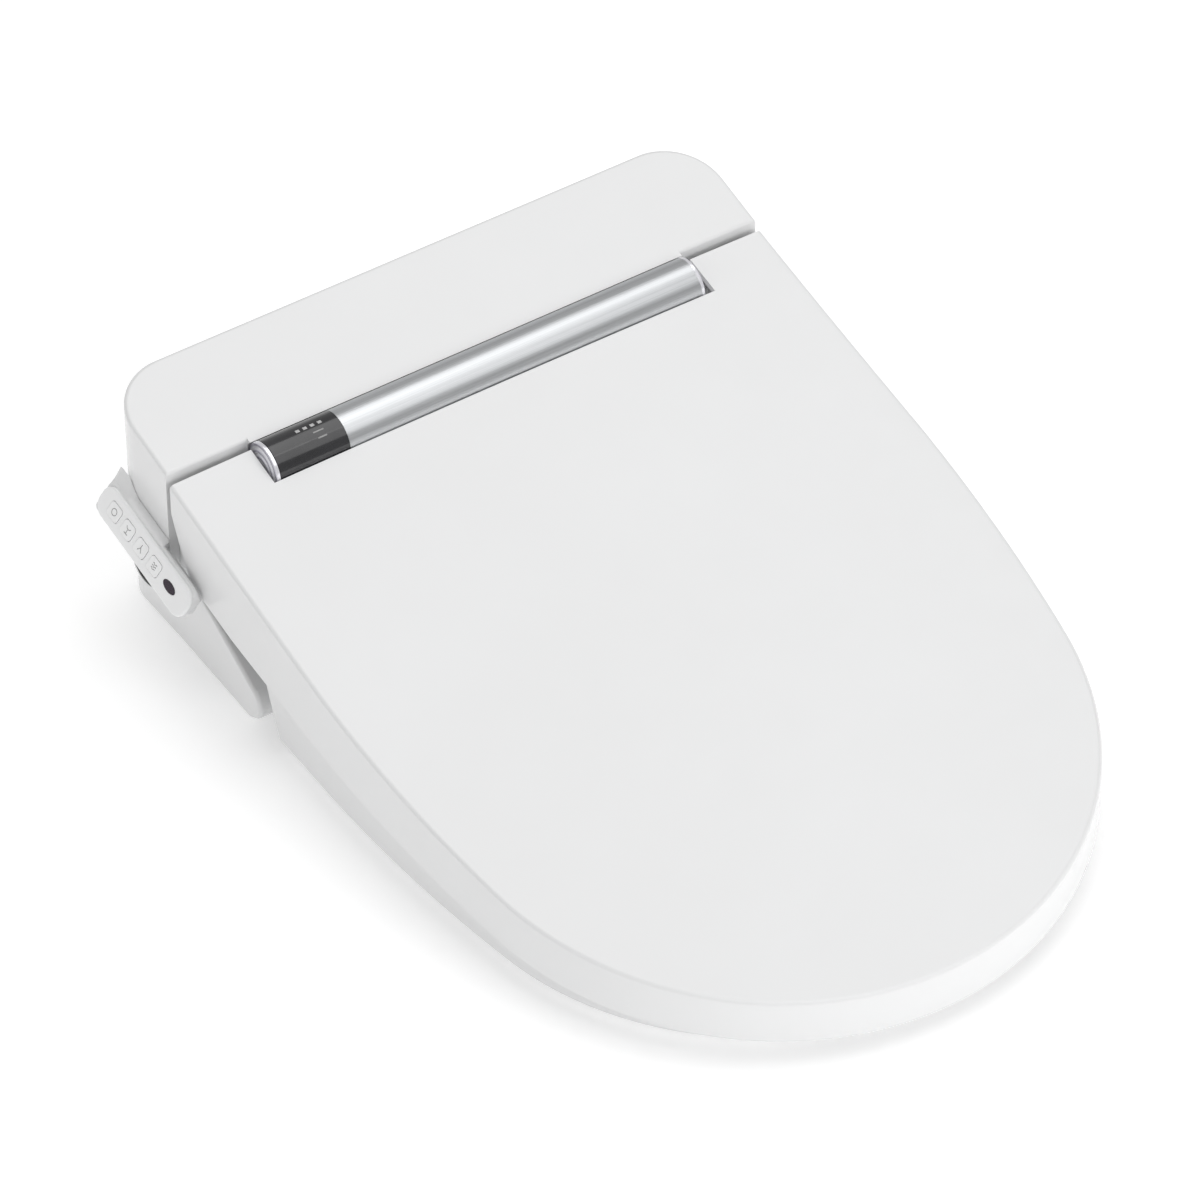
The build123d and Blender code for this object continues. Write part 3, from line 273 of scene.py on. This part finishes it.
board = Paint("circuit_board", (0.02, 0.15, 0.06), 0.3)
board.colour(
    board.cells(260, "DISTANCE_TO_EDGE"),
    (0.0, (0.09, 0.32, 0.14)),
    (0.08, (0.05, 0.24, 0.1)),
    (0.16, (0.012, 0.1, 0.045)),
)
board.rough(board.noise(120, 3), 0.29, 0.42).bump(board.cells(260, "DISTANCE_TO_EDGE"), 0.0001)
looks["board_green"] = board.mat

smoke = Paint("smoked_window", grey(0.012), 0.06, Coat_Weight=0.6, Coat_Roughness=0.03, IOR=1.5)
smoke.colour(smoke.noise(30, 3), (0.3, (0.008, 0.008, 0.01)), (0.7, (0.02, 0.02, 0.023)))
smoke.rough(smoke.noise(90, 4), 0.16, 0.26).bump(smoke.noise(260, 2), 0.000008)
looks["window_black"] = smoke.mat

lens = Paint("dark_lens", (0.01, 0.006, 0.012), 0.05, Coat_Weight=0.8, Coat_Roughness=0.02)
lens.colour(lens.noise(160, 3), (0.3, (0.008, 0.004, 0.012)), (0.7, (0.03, 0.012, 0.03)))
lens.rough(lens.noise(300, 2), 0.04, 0.1).bump(lens.noise(500, 2), 0.00001)
looks["lens_dark"] = lens.mat

cap = Paint("turned_cap", (0.8, 0.8, 0.84), 0.22, Metallic=0.55)
# Dark and bright colour rings at the spacing of the cap's grooves: painted shade in the grooves and
# painted highlight between them.
cap.colour(
    cap.rings(0.0037, HINGE, 0),
    (0.05, (0.42, 0.41, 0.47)),
    (0.4, (0.74, 0.73, 0.79)),
    (0.8, (0.9, 0.9, 0.93)),
)
cap.rough(cap.noise(400, 3), 0.16, 0.26).bump(cap.rings(0.0004, HINGE, 0), 0.000015)
looks["cap_chrome"] = cap.mat

slot_of = {part["node"]: part["material_slot"] for part in frame["record"]["subparts"]}
for name, thing in nodes.items():
    mesh = thing.data
    mesh.materials.clear()
    mesh.materials.append(looks[slot_of[name]])


# ---------------------------------------------------------------------------
# Mesh helpers
# ---------------------------------------------------------------------------
LATHE_STEPS = 96


def piece(name, verts, faces, slot, body, hidden=(), crease=32):
    """Smooth mesh object with sharp edges above an angle, carried by a body."""
    mesh = bpy.data.meshes.new(name)
    work = bmesh.new()
    made = [work.verts.new(v) for v in verts]
    for face in faces:
        corners = [made[k] for k in dict.fromkeys(face)]
        if len(corners) > 2:
            work.faces.new(corners)
    bmesh.ops.remove_doubles(work, verts=work.verts, dist=1e-6)
    bmesh.ops.dissolve_degenerate(work, edges=work.edges, dist=1e-7)
    bmesh.ops.recalc_face_normals(work, faces=work.faces)
    for face in work.faces:
        face.smooth = True
    work.to_mesh(mesh)
    work.free()
    mesh.set_sharp_from_angle(angle=math.radians(crease))
    mesh.materials.append(looks[slot] if isinstance(slot, str) else slot)
    thing = bpy.data.objects.new(name, mesh)
    bpy.context.scene.collection.objects.link(thing)
    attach(thing, body)
    if hidden:
        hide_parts(*hidden)


def loft(loops, ends=False):
    """Quads between closed loops of equal length."""
    count = len(loops[0])
    verts = [tuple(p) for loop in loops for p in loop]
    faces = []
    for row in range(0, (len(loops) - 1) * count, count):
        for k in range(count):
            after = (k + 1) % count
            faces.append((row + k, row + after, row + count + after, row + count + k))
    if ends:
        faces.append(tuple(range(count)))
        faces.append(tuple((len(loops) - 1) * count + k for k in range(count)))
    return verts, faces


def lathe(profile):
    """Closed profile of (x, radius) points turned about the hinge axis."""
    loops = []
    for k in range(LATHE_STEPS + 1):
        turn = 2 * math.pi * (k % LATHE_STEPS) / LATHE_STEPS
        y, z = math.cos(turn), math.sin(turn)
        loops.append([HINGE + Vector((x, r * y, r * z)) for x, r in profile])
    return loft(loops)


def mm(*values):
    return Vector([v / 1000 for v in values])


# ---------------------------------------------------------------------------
# Lid: crowned skin with a rolled rim, lofted along half of its outline
# ---------------------------------------------------------------------------
# Lengths are in millimetres from here on, apart from the camera and the lights.
# Outline: straight from the rear corner to SIDE, one arc to the front, one round the tip.
REAR, LENGTH, HALF, REAR_HALF, SIDE, FRONT_R = -17.0, 455.0, 193.0, 191.0, -167.0, 183.0
TIP = REAR - LENGTH
SKIN, RIM = 2.2, 2.6
SIDE_STEPS, TIP_STEPS = 28, 72

# Gap in the roof over the bar: two x values, and the y of its front edge.
NOTCH_LEFT, NOTCH_RIGHT, NOTCH_FRONT = -140.2, 143.6, -41.0

# Roof line: height at the rear, slope, bend, and the fall at CROWN_AT from the middle.
ROOF_REAR, ROOF_SLOPE, ROOF_BEND = 122.0, 0.24, 23.7
CROWN, CROWN_AT = 1.58, 180

# Lower edge: straight from the tip to KNEE, a short rise to HEEL, a curve to the rear.
KNEE, KNEE_Z, TIP_Z = -77, 54.5, 8.3
HEEL, HEEL_Z = -41, 62
CURL_RUN, CURL_RISE, CURL_POWER = 26.5, 44, 0.9

# Section of the skin: chamfer of the lower edge, heights on the wall, inner corner.
LIP = 0.5
WALL_SHARES = (0.35, 0.7, 0.97)
ROUND_STEPS = 9
INNER_REACH, INNER_DROP = 1.2, 2
OUTER_POINTS, INNER_POINTS = 2 + len(WALL_SHARES) + ROUND_STEPS, 3

# Points across the roof: beside the gap on each side, and over the gap.
BESIDE, OVER = 7, 36


def lid_top(y):
    run = y - REAR
    return ROOF_REAR + ROOF_SLOPE * run + ROOF_BEND * (run / LENGTH) ** 2


def lid_low(y):
    if y < KNEE:
        return KNEE_Z + (y - KNEE) * (KNEE_Z - TIP_Z) / (KNEE - TIP)
    if y < HEEL:
        return KNEE_Z + (y - KNEE) * (HEEL_Z - KNEE_Z) / (HEEL - KNEE)
    curl = 1 - math.cos((y - HEEL) / CURL_RUN * math.pi / 2)
    return HEEL_Z + CURL_RISE * curl ** CURL_POWER


def half_outline():
    """(x, y, normal) of the right half from the rear corner to the tip."""
    centre_y = TIP + FRONT_R
    rise = SIDE - centre_y
    side_r = (HALF ** 2 + rise ** 2 - FRONT_R ** 2) / (2 * (HALF - FRONT_R))
    side_x = HALF - side_r
    turn = math.atan2(-rise, -side_x)
    normal = Vector((REAR - SIDE, HALF - REAR_HALF)).normalized()
    line = []
    for y in (REAR, -20, -24, -29, -35, NOTCH_FRONT, -46, -54, -64, -78, -95, -115, -140):
        x = REAR_HALF + (REAR - y) * (HALF - REAR_HALF) / (REAR - SIDE)
        line.append((x, y, normal))
    for k in range(SIDE_STEPS + 1):
        a = turn * k / SIDE_STEPS
        x, y = math.cos(a), math.sin(a)
        line.append((side_x + side_r * x, SIDE + side_r * y, Vector((x, y))))
    for k in range(1, TIP_STEPS + 1):
        a = turn + (-math.pi / 2 - turn) * k / TIP_STEPS
        x, y = math.cos(a), math.sin(a)
        line.append((FRONT_R * x, centre_y + FRONT_R * y, Vector((x, y))))
    return line


def lid_height(x, y):
    return lid_top(y) - CROWN * (x / CROWN_AT) ** 2


inner_half = REAR_HALF - RIM
left, right = NOTCH_LEFT / inner_half, NOTCH_RIGHT / inner_half
columns = [-1 + (1 + left) * k / BESIDE for k in range(BESIDE)]
columns += [left + (right - left) * k / OVER for k in range(OVER)]
columns += [right + (1 - right) * k / BESIDE for k in range(BESIDE + 1)]


def lid_section(x, y, normal):
    """Closed loop across the lid at one station: outer skin, then inner skin back."""
    def at(side, inset):
        return side * max(x - inset * normal.x, 0), y - inset * normal.y

    low = lid_low(y)
    loop = []
    for side in (-1, 1):
        edge_x, edge_y = at(side, 0)
        top = lid_height(*at(side, RIM))
        wall = [(*at(side, LIP), low), (edge_x, edge_y, low + LIP)]
        for share in WALL_SHARES:
            wall.append((edge_x, edge_y, low + (top - RIM - low) * share))
        for k in range(ROUND_STEPS):
            a = math.radians(90 * k / ROUND_STEPS)
            px, py = at(side, RIM * (1 - math.cos(a)))
            wall.append((px, py, top - RIM * (1 - math.sin(a))))
        if side < 0:
            loop += wall
            flat_x, flat_y = at(1, RIM)
            loop += [(u * flat_x, flat_y, lid_height(u * flat_x, flat_y)) for u in columns]
        else:
            loop += wall[::-1]
    for side in (1, -1):
        px, py = at(side, SKIN)
        roof_x, roof_y = at(side, RIM + INNER_REACH)
        wall = [
            (px, py, low),
            (px, py, lid_height(px, py) - RIM - INNER_DROP),
            (roof_x, roof_y, lid_height(roof_x, roof_y) - SKIN),
        ]
        if side > 0:
            loop += wall
            for u in columns[::-1]:
                loop.append((u * roof_x, roof_y, lid_height(u * roof_x, roof_y) - SKIN))
        else:
            loop += wall[::-1]
    return [mm(*p) for p in loop]


outline = half_outline()
sections = [lid_section(*station) for station in outline]
verts, faces = loft(sections)
count = len(sections[0])
last = len(columns) - 1
outer_start = OUTER_POINTS
inner_start = outer_start + len(columns) + OUTER_POINTS + INNER_POINTS
notch_row = next(k for k, (_, y, _) in enumerate(outline) if abs(y - NOTCH_FRONT) < 1e-6)
gap = range(BESIDE, BESIDE + OVER)


def inner_index(column):
    return inner_start + last - column


# The gap is left out of both skins, and its edges and the lid's rear end are closed.
kept = []
cut = {outer_start + c for c in gap} | {inner_index(c + 1) for c in gap}
for r in range(len(sections) - 1):
    for k in range(count):
        if r >= notch_row or k not in cut:
            kept.append(faces[r * count + k])
for column in (gap.start, gap.stop):
    for r in range(notch_row):
        a, b = outer_start + column, inner_index(column)
        kept.append((r * count + a, (r + 1) * count + a, (r + 1) * count + b, r * count + b))
for row, closed in ((notch_row * count, gap), (0, [c for c in range(last) if c not in gap])):
    for c in closed:
        outer, inner = row + outer_start + c, row + inner_index(c + 1)
        kept.append((outer, outer + 1, inner, inner + 1))
kept.append((*range(outer_start + 1), *range(inner_start + last + 1, count)))
kept.append(tuple(range(outer_start + last, inner_start)))
piece("lid_skin", verts, kept, "white_shell", "lid", ["lid_shell"], 40)

# Hinge ears of the lid: distance from the middle, web, and the drilled round end.
EAR_IN, EAR_OUT = 146.0, 151.0
WEB_FRONT, WEB_LOW, WEB_HIGH = -57, 105.6, 110.0
EAR_R, EAR_BORE, EAR_STEPS = 4.2, 2.55, 40
WEB_GAIN, WEB_FROM = 1.6, 0.5


def ear_ring(x_from, x_to):
    """Hinge ear: a drilled round end with a web that runs forward."""
    axis_y, axis_z = HINGE.y * 1000, HINGE.z * 1000
    loops = []
    for k in range(EAR_STEPS + 1):
        a = 2 * math.pi * (k % EAR_STEPS) / EAR_STEPS
        y, z = math.cos(a), math.sin(a)
        blend = min(-y * WEB_GAIN, 1)
        oy, oz = axis_y + EAR_R * y, axis_z + EAR_R * z
        if blend > WEB_FROM:
            oy += (WEB_FRONT - axis_y) * blend
            oz = WEB_LOW + (WEB_HIGH - WEB_LOW) * (z + 1) / 2
        iy, iz = axis_y + EAR_BORE * y, axis_z + EAR_BORE * z
        loops.append([mm(x_from, oy, oz), mm(x_to, oy, oz), mm(x_to, iy, iz), mm(x_from, iy, iz)])
    return loft(loops)


for side, name in ((-1, "left"), (1, "right")):
    verts, faces = ear_ring(*sorted((side * EAR_IN, side * EAR_OUT)))
    piece("lid_ear_" + name, verts, faces, "white_shell", "lid")

# ---------------------------------------------------------------------------
# Turned caps and printed marks of the bar
# ---------------------------------------------------------------------------
# Profile of a cap from its hole to its rim, as depth behind the end and radius.
CAP_END, CAP_BACK, CAP_R = 139.0, 3.0, 15.0
HOLE_FRONT, HOLE_R = 0.3, 2.6
RINGS_FROM, RINGS_TO, RINGS_STEPS, RING_WIDTH, RING_DEPTH = 2.8, 13.9, 56, 3.7, 0.22
DOME_DEPTH, DOME_R = 0.75, 14.5
EDGE_BACK, EDGE_CENTRE, EDGE_R, EDGE_STEPS = 1.55, 14.15, 0.85, 6

cap_profile = [(CAP_BACK, HOLE_R), (HOLE_FRONT, HOLE_R)]
for k in range(RINGS_STEPS + 1):
    r = RINGS_FROM + (RINGS_TO - RINGS_FROM) * k / RINGS_STEPS
    dome = DOME_DEPTH * (r / DOME_R) ** 3
    ripple = RING_DEPTH * (1 - math.cos(2 * math.pi * (r - RINGS_FROM) / RING_WIDTH))
    cap_profile.append((dome + ripple, r))
for k in range(EDGE_STEPS + 1):
    a = math.radians(90 * k / EDGE_STEPS)
    cap_profile.append((EDGE_BACK - EDGE_R * math.cos(a), EDGE_CENTRE + EDGE_R * math.sin(a)))
cap_profile.append((CAP_BACK, CAP_R))
for side, name in ((-1, "left"), (1, "right")):
    turned = [(side * (CAP_END - depth) / 1000, r / 1000) for depth, r in cap_profile]
    verts, faces = lathe(turned)
    piece("turned_cap_" + name, verts, faces, "cap_chrome", "base", ["bar_cap_" + name], 50)

prints = Paint("grey_print", grey(0.3), 0.45)
prints.colour(prints.noise(900, 3), (0.3, grey(0.24)), (0.7, grey(0.36)))
prints.rough(prints.noise(600, 3), 0.4, 0.55)
pale_print = Paint("pale_print", grey(0.5), 0.4)
pale_print.colour(pale_print.noise(900, 3), (0.3, grey(0.42)), (0.7, grey(0.6)))
pale_print.rough(pale_print.noise(600, 3), 0.3, 0.45)


# Radii between which the print stands on the bar, and the row of dots on its window.
MARK_IN, MARK_OUT, MARK_STEPS = 14.9, 15.05, 8
LEVEL_FROM, LEVEL_TO, LEVEL_PITCH = -117.0, -114.6, 4.6


def bar_mark(name, x_from, x_to, angle_from, angle_to, paint):
    """Thin raised print on the bar, between two angles above its front."""
    loops = []
    for k in range(MARK_STEPS + 1):
        a = math.radians(angle_from + (angle_to - angle_from) * k / MARK_STEPS)
        ring = []
        for x, r in ((x_from, MARK_IN), (x_from, MARK_OUT), (x_to, MARK_OUT), (x_to, MARK_IN)):
            ring.append(HINGE + mm(x, -r * math.cos(a), r * math.sin(a)))
        loops.append(ring)
    verts, faces = loft(loops, ends=True)
    piece(name, verts, faces, paint.mat, "base")


for k in range(4):
    shift = LEVEL_PITCH * k
    bar_mark(f"level_mark_{k + 1}", LEVEL_FROM + shift, LEVEL_TO + shift, 88, 96, pale_print)
bar_mark("lamp_mark_1", -109, -102.5, 71, 74, prints)
bar_mark("lamp_mark_2", -108, -102.5, 56, 59, prints)

# ---------------------------------------------------------------------------
# Control arm and the marks on its keys
# ---------------------------------------------------------------------------
# Fall of the arm to the front and lean of its keys to the side, read from the photo.
FALL, LEAN = math.radians(12.3), math.radians(60)
ARM_CENTRE = Vector((-203.0, -5.5, 70.5))
along = Vector((0, -math.cos(FALL), -math.sin(FALL)))
tilt = Vector((-math.sin(LEAN), 0, math.cos(LEAN)))
outward = (tilt - along * tilt.dot(along)).normalized()
upward = outward.cross(along)

# Half height and half length of the face, its depth behind the centre, its corners.
ARM_HALF, ARM_REACH, FACE_BACK = 9.75, 44.5, 1.7
FRONT_CORNER, REAR_CORNER = 8.0, 3.0

# The shell meets the body at one x behind BODY_STEP_Y and another in front of it.
BODY_REAR_X, BODY_FRONT_X, BODY_STEP_Y = -190.7, -194.7, -12.6

# The top of the shell rises at its rear end, between two values of y.
LIFT_FROM, LIFT_TO = 19, 31
RISE, RISE_LIFT, KNEE_AT, KNEE_RISE, KNEE_LIFT = 0.6, 7.5, 0.55, 0.5, 1.5
FOOT_RISE = 3.0
RIDGE, UNDER = Vector((1.2, 0, 0.5)), Vector((2.6, 0, -0.9))

# Tray that holds the keys. At the two ends it is shut to a sliver.
TRAY_WALL, TRAY_DEPTH, SHUT = 2.0, 8.0, 0.02


def ease(value, low, high):
    t = min(max((value - low) / (high - low), 0), 1)
    return t * t * (3 - 2 * t)


def arm_section(s, open_front):
    """C-shaped loop across the arm: outside, then the tray for the keys."""
    corner = FRONT_CORNER if s > 0 else REAR_CORNER
    over = max(abs(s) - ARM_REACH + corner, 0)
    half = ARM_HALF - (corner - math.sqrt(corner ** 2 - over ** 2))
    base = ARM_CENTRE + along * s - outward * FACE_BACK
    top, bottom = base + upward * half, base - upward * half
    wall_x = BODY_REAR_X if base.y > BODY_STEP_Y else BODY_FRONT_X
    lift = ease(base.y, LIFT_FROM, LIFT_TO)
    shoulder = Vector((wall_x, top.y, top.z + (RISE + RISE_LIFT * lift)))
    knee = top.lerp(shoulder, KNEE_AT) + Vector((0, 0, KNEE_RISE - KNEE_LIFT * lift))
    foot = Vector((wall_x, bottom.y, bottom.z + FOOT_RISE))
    hollow = half - TRAY_WALL if open_front else SHUT
    depth = TRAY_DEPTH if open_front else SHUT
    low, high = base - upward * hollow, base + upward * hollow
    outside = (top, top + RIDGE, knee, shoulder, foot, bottom + UNDER, bottom)
    tray = (low, low - outward * depth, high - outward * depth, high)
    return [p / 1000 for p in (*outside, *tray)]


ends = [-44.4, -44.0, -43.2, -42.6]
stations = [(s, False) for s in ends] + [(-42.5, True)]
stations += [(-42.0 + 1.5 * k, True) for k in range(57)]
stations += [(42.5, True)] + [(-s, False) for s in ends[::-1]]
verts, faces = loft([arm_section(*station) for station in stations], ends=True)
piece("control_arm_shell", verts, faces, "white_body", "base", ["panel_housing"], 30)


# Spacing of the keys along the arm, and the printed lines that stand on them.
KEY_FIRST, KEY_PITCH = -29.9, 13.8
LINE_WIDTH, LINE_IN, LINE_OUT = 0.42, 0.22, 0.36


def stroke(points, s0):
    """Flat ribbon with thickness along points (along, up) on a key's face."""
    loops = []
    for k, (s, u) in enumerate(points):
        before, after = points[max(k - 1, 0)], points[min(k + 1, len(points) - 1)]
        way = Vector((after[0] - before[0], after[1] - before[1])).normalized()
        side = Vector((-way.y, way.x)) * LINE_WIDTH / 2
        ring = []
        for sign, lift in ((-1, LINE_IN), (-1, LINE_OUT), (1, LINE_OUT), (1, LINE_IN)):
            p = ARM_CENTRE + along * (s0 + s + sign * side.x)
            p = p + upward * (u + sign * side.y) + outward * lift
            ring.append(p / 1000)
        loops.append(ring)
    return loft(loops, ends=True)


def arc(cx, cy, r, start, end, steps=16):
    turns = [math.radians(start + (end - start) * k / steps) for k in range(steps + 1)]
    return [(cx + r * math.cos(a), cy + r * math.sin(a)) for a in turns]


def wave_line(shift):
    return [(-1.8 + 0.3 * k, shift + 0.4 * math.sin(k * 0.8)) for k in range(13)]


marks = {
    "stop_key": [arc(0, 0, 2.0, 0, 352, 30)],
    "rear_wash_key": [
        arc(0, 2.6, 2.0, 200, 340),
        [(0, -2.4), (0, -1.2), (0, 0.1)],
        [(-1.6, -2.4), (1.6, -2.4)],
    ],
    "front_wash_key": [
        [(-1.7, -2.2), (-0.2, 0), (0, 2.4)],
        [(1.7, -2.2), (0.2, 0), (0.1, 0.2)],
    ],
    "dry_key": [wave_line(-1.5), wave_line(0), wave_line(1.5)],
}
for k, (body, lines) in enumerate(marks.items()):
    for n, line in enumerate(lines):
        verts, faces = stroke(line, KEY_FIRST + KEY_PITCH * k)
        piece(f"{body}_mark_{n + 1}", verts, faces, prints.mat, body)


# ---------------------------------------------------------------------------
# Camera, floor and light
# ---------------------------------------------------------------------------
# Place, aim and lens were fitted to the lid's outline in the photo.
EYE = Vector((-1.53381, -2.44193, 2.61137))
TARGET = Vector((-0.05104, -0.2193, 0.122))
camera = bpy.data.objects.new("camera", bpy.data.cameras.new("camera"))
bpy.context.scene.collection.objects.link(camera)
camera.data.lens = 210
camera.data.sensor_width = 36
camera.data.clip_start = 0.05
camera.data.clip_end = 50
camera.location = EYE
camera.rotation_mode = "QUATERNION"
camera.rotation_quaternion = (TARGET - EYE).to_track_quat("-Z", "Y")
bpy.context.scene.camera = camera

floor_mesh = bpy.data.meshes.new("floor")
ground = bmesh.new()
bmesh.ops.create_grid(ground, x_segments=12, y_segments=12, size=6)
ground.to_mesh(floor_mesh)
floor = bpy.data.objects.new("floor", floor_mesh)
bpy.context.scene.collection.objects.link(floor)
floor.location.z = CAD_BOX[0][2] - 0.0004
pale = Paint("pale_floor", grey(0.9), 0.7)
pale.colour(pale.noise(2, 2), (0.3, grey(0.9)), (0.7, grey(0.93)))
pale.rough(pale.noise(12, 3), 0.65, 0.8).bump(pale.noise(80, 2), 0.00002)
pale.shader.inputs["Emission Color"].default_value = (1, 1, 1, 1)
pale.shader.inputs["Emission Strength"].default_value = 0.28
floor_mesh.materials.append(pale.mat)

world = bpy.data.worlds.new("studio")
bpy.context.scene.world = world
world.use_nodes = True
sky = world.node_tree.nodes["Background"]
sky.inputs["Color"].default_value = (1, 1, 1, 1)
sky.inputs["Strength"].default_value = 0.47


def softbox(name, place, aim, size, power, mirrored=True, lit=True):
    """Area lamp. mirrored: seen in reflections. lit: lights rough surfaces."""
    light = bpy.data.lights.new(name, "AREA")
    light.shape = "RECTANGLE"
    light.size, light.size_y = size
    light.energy = power
    lamp = bpy.data.objects.new(name, light)
    bpy.context.scene.collection.objects.link(lamp)
    lamp.location = place
    lamp.rotation_mode = "QUATERNION"
    lamp.rotation_quaternion = (Vector(aim) - Vector(place)).to_track_quat("-Z", "Y")
    lamp.visible_glossy = mirrored
    lamp.visible_diffuse = lit


softbox("overhead", (0.3, 0.4, 2.4), (0, -0.2, 0.05), (2.4, 2.0), 23)
softbox("front", (0.5, -2.4, 1.0), (0, -0.3, 0.05), (2.0, 1.2), 23, False)
softbox("left", (-2.2, -0.4, 1.0), (0, -0.2, 0.05), (1.2, 1.2), 4, False)
softbox("gleam", (0.1, -1.5, 2.2), (0, -0.03, 0.11), (2.6, 1.7), 16, True, False)

bpy.context.scene.view_settings.view_transform = "Standard"
